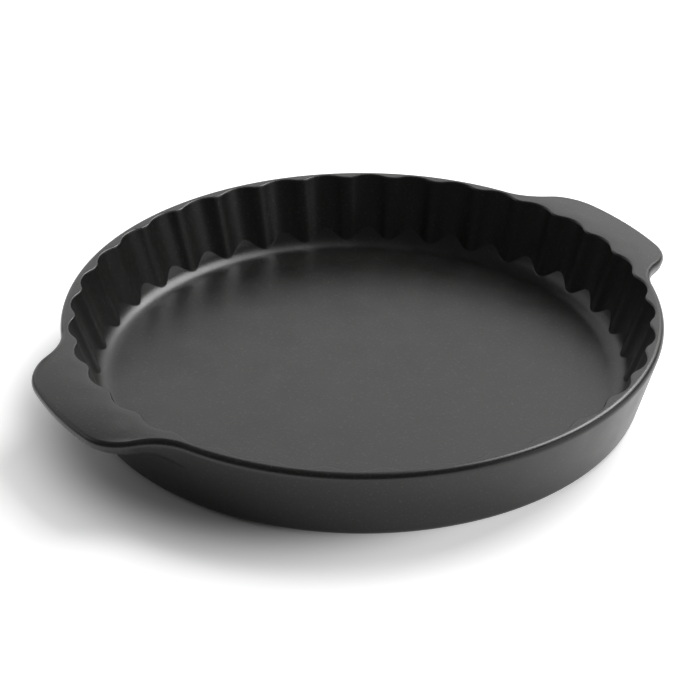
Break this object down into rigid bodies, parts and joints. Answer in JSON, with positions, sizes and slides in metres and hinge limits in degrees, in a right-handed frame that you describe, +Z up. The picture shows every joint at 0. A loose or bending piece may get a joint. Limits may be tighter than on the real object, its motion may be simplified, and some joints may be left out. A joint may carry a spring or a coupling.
{
  "type": "fluted quiche dish",
  "caption": "Round shallow baking dish with a fluted inner wall, a smooth leaning outer wall, and a flat handle on each side at the rim.",
  "frame": {"origin": "middle of the foot ring, on the surface that the dish stands on", "axes": "+Z up, out of the open top; X runs through both handles; Y across them"},
  "size_m": [0.3422, 0.3, 0.041],
  "materials": {
    "black_satin_glaze": "satin black glaze, smooth to the touch, over thick stoneware",
    "bare_clay": "unglazed fired clay, wiped clean of glaze before firing"
  },
  "bodies": {
    "root": {"floor_disc": "black_satin_glaze", "fluted_wall": "black_satin_glaze", "handle_left": "black_satin_glaze", "handle_right": "black_satin_glaze", "foot_ring": "bare_clay"}
  },
  "joints": []
}
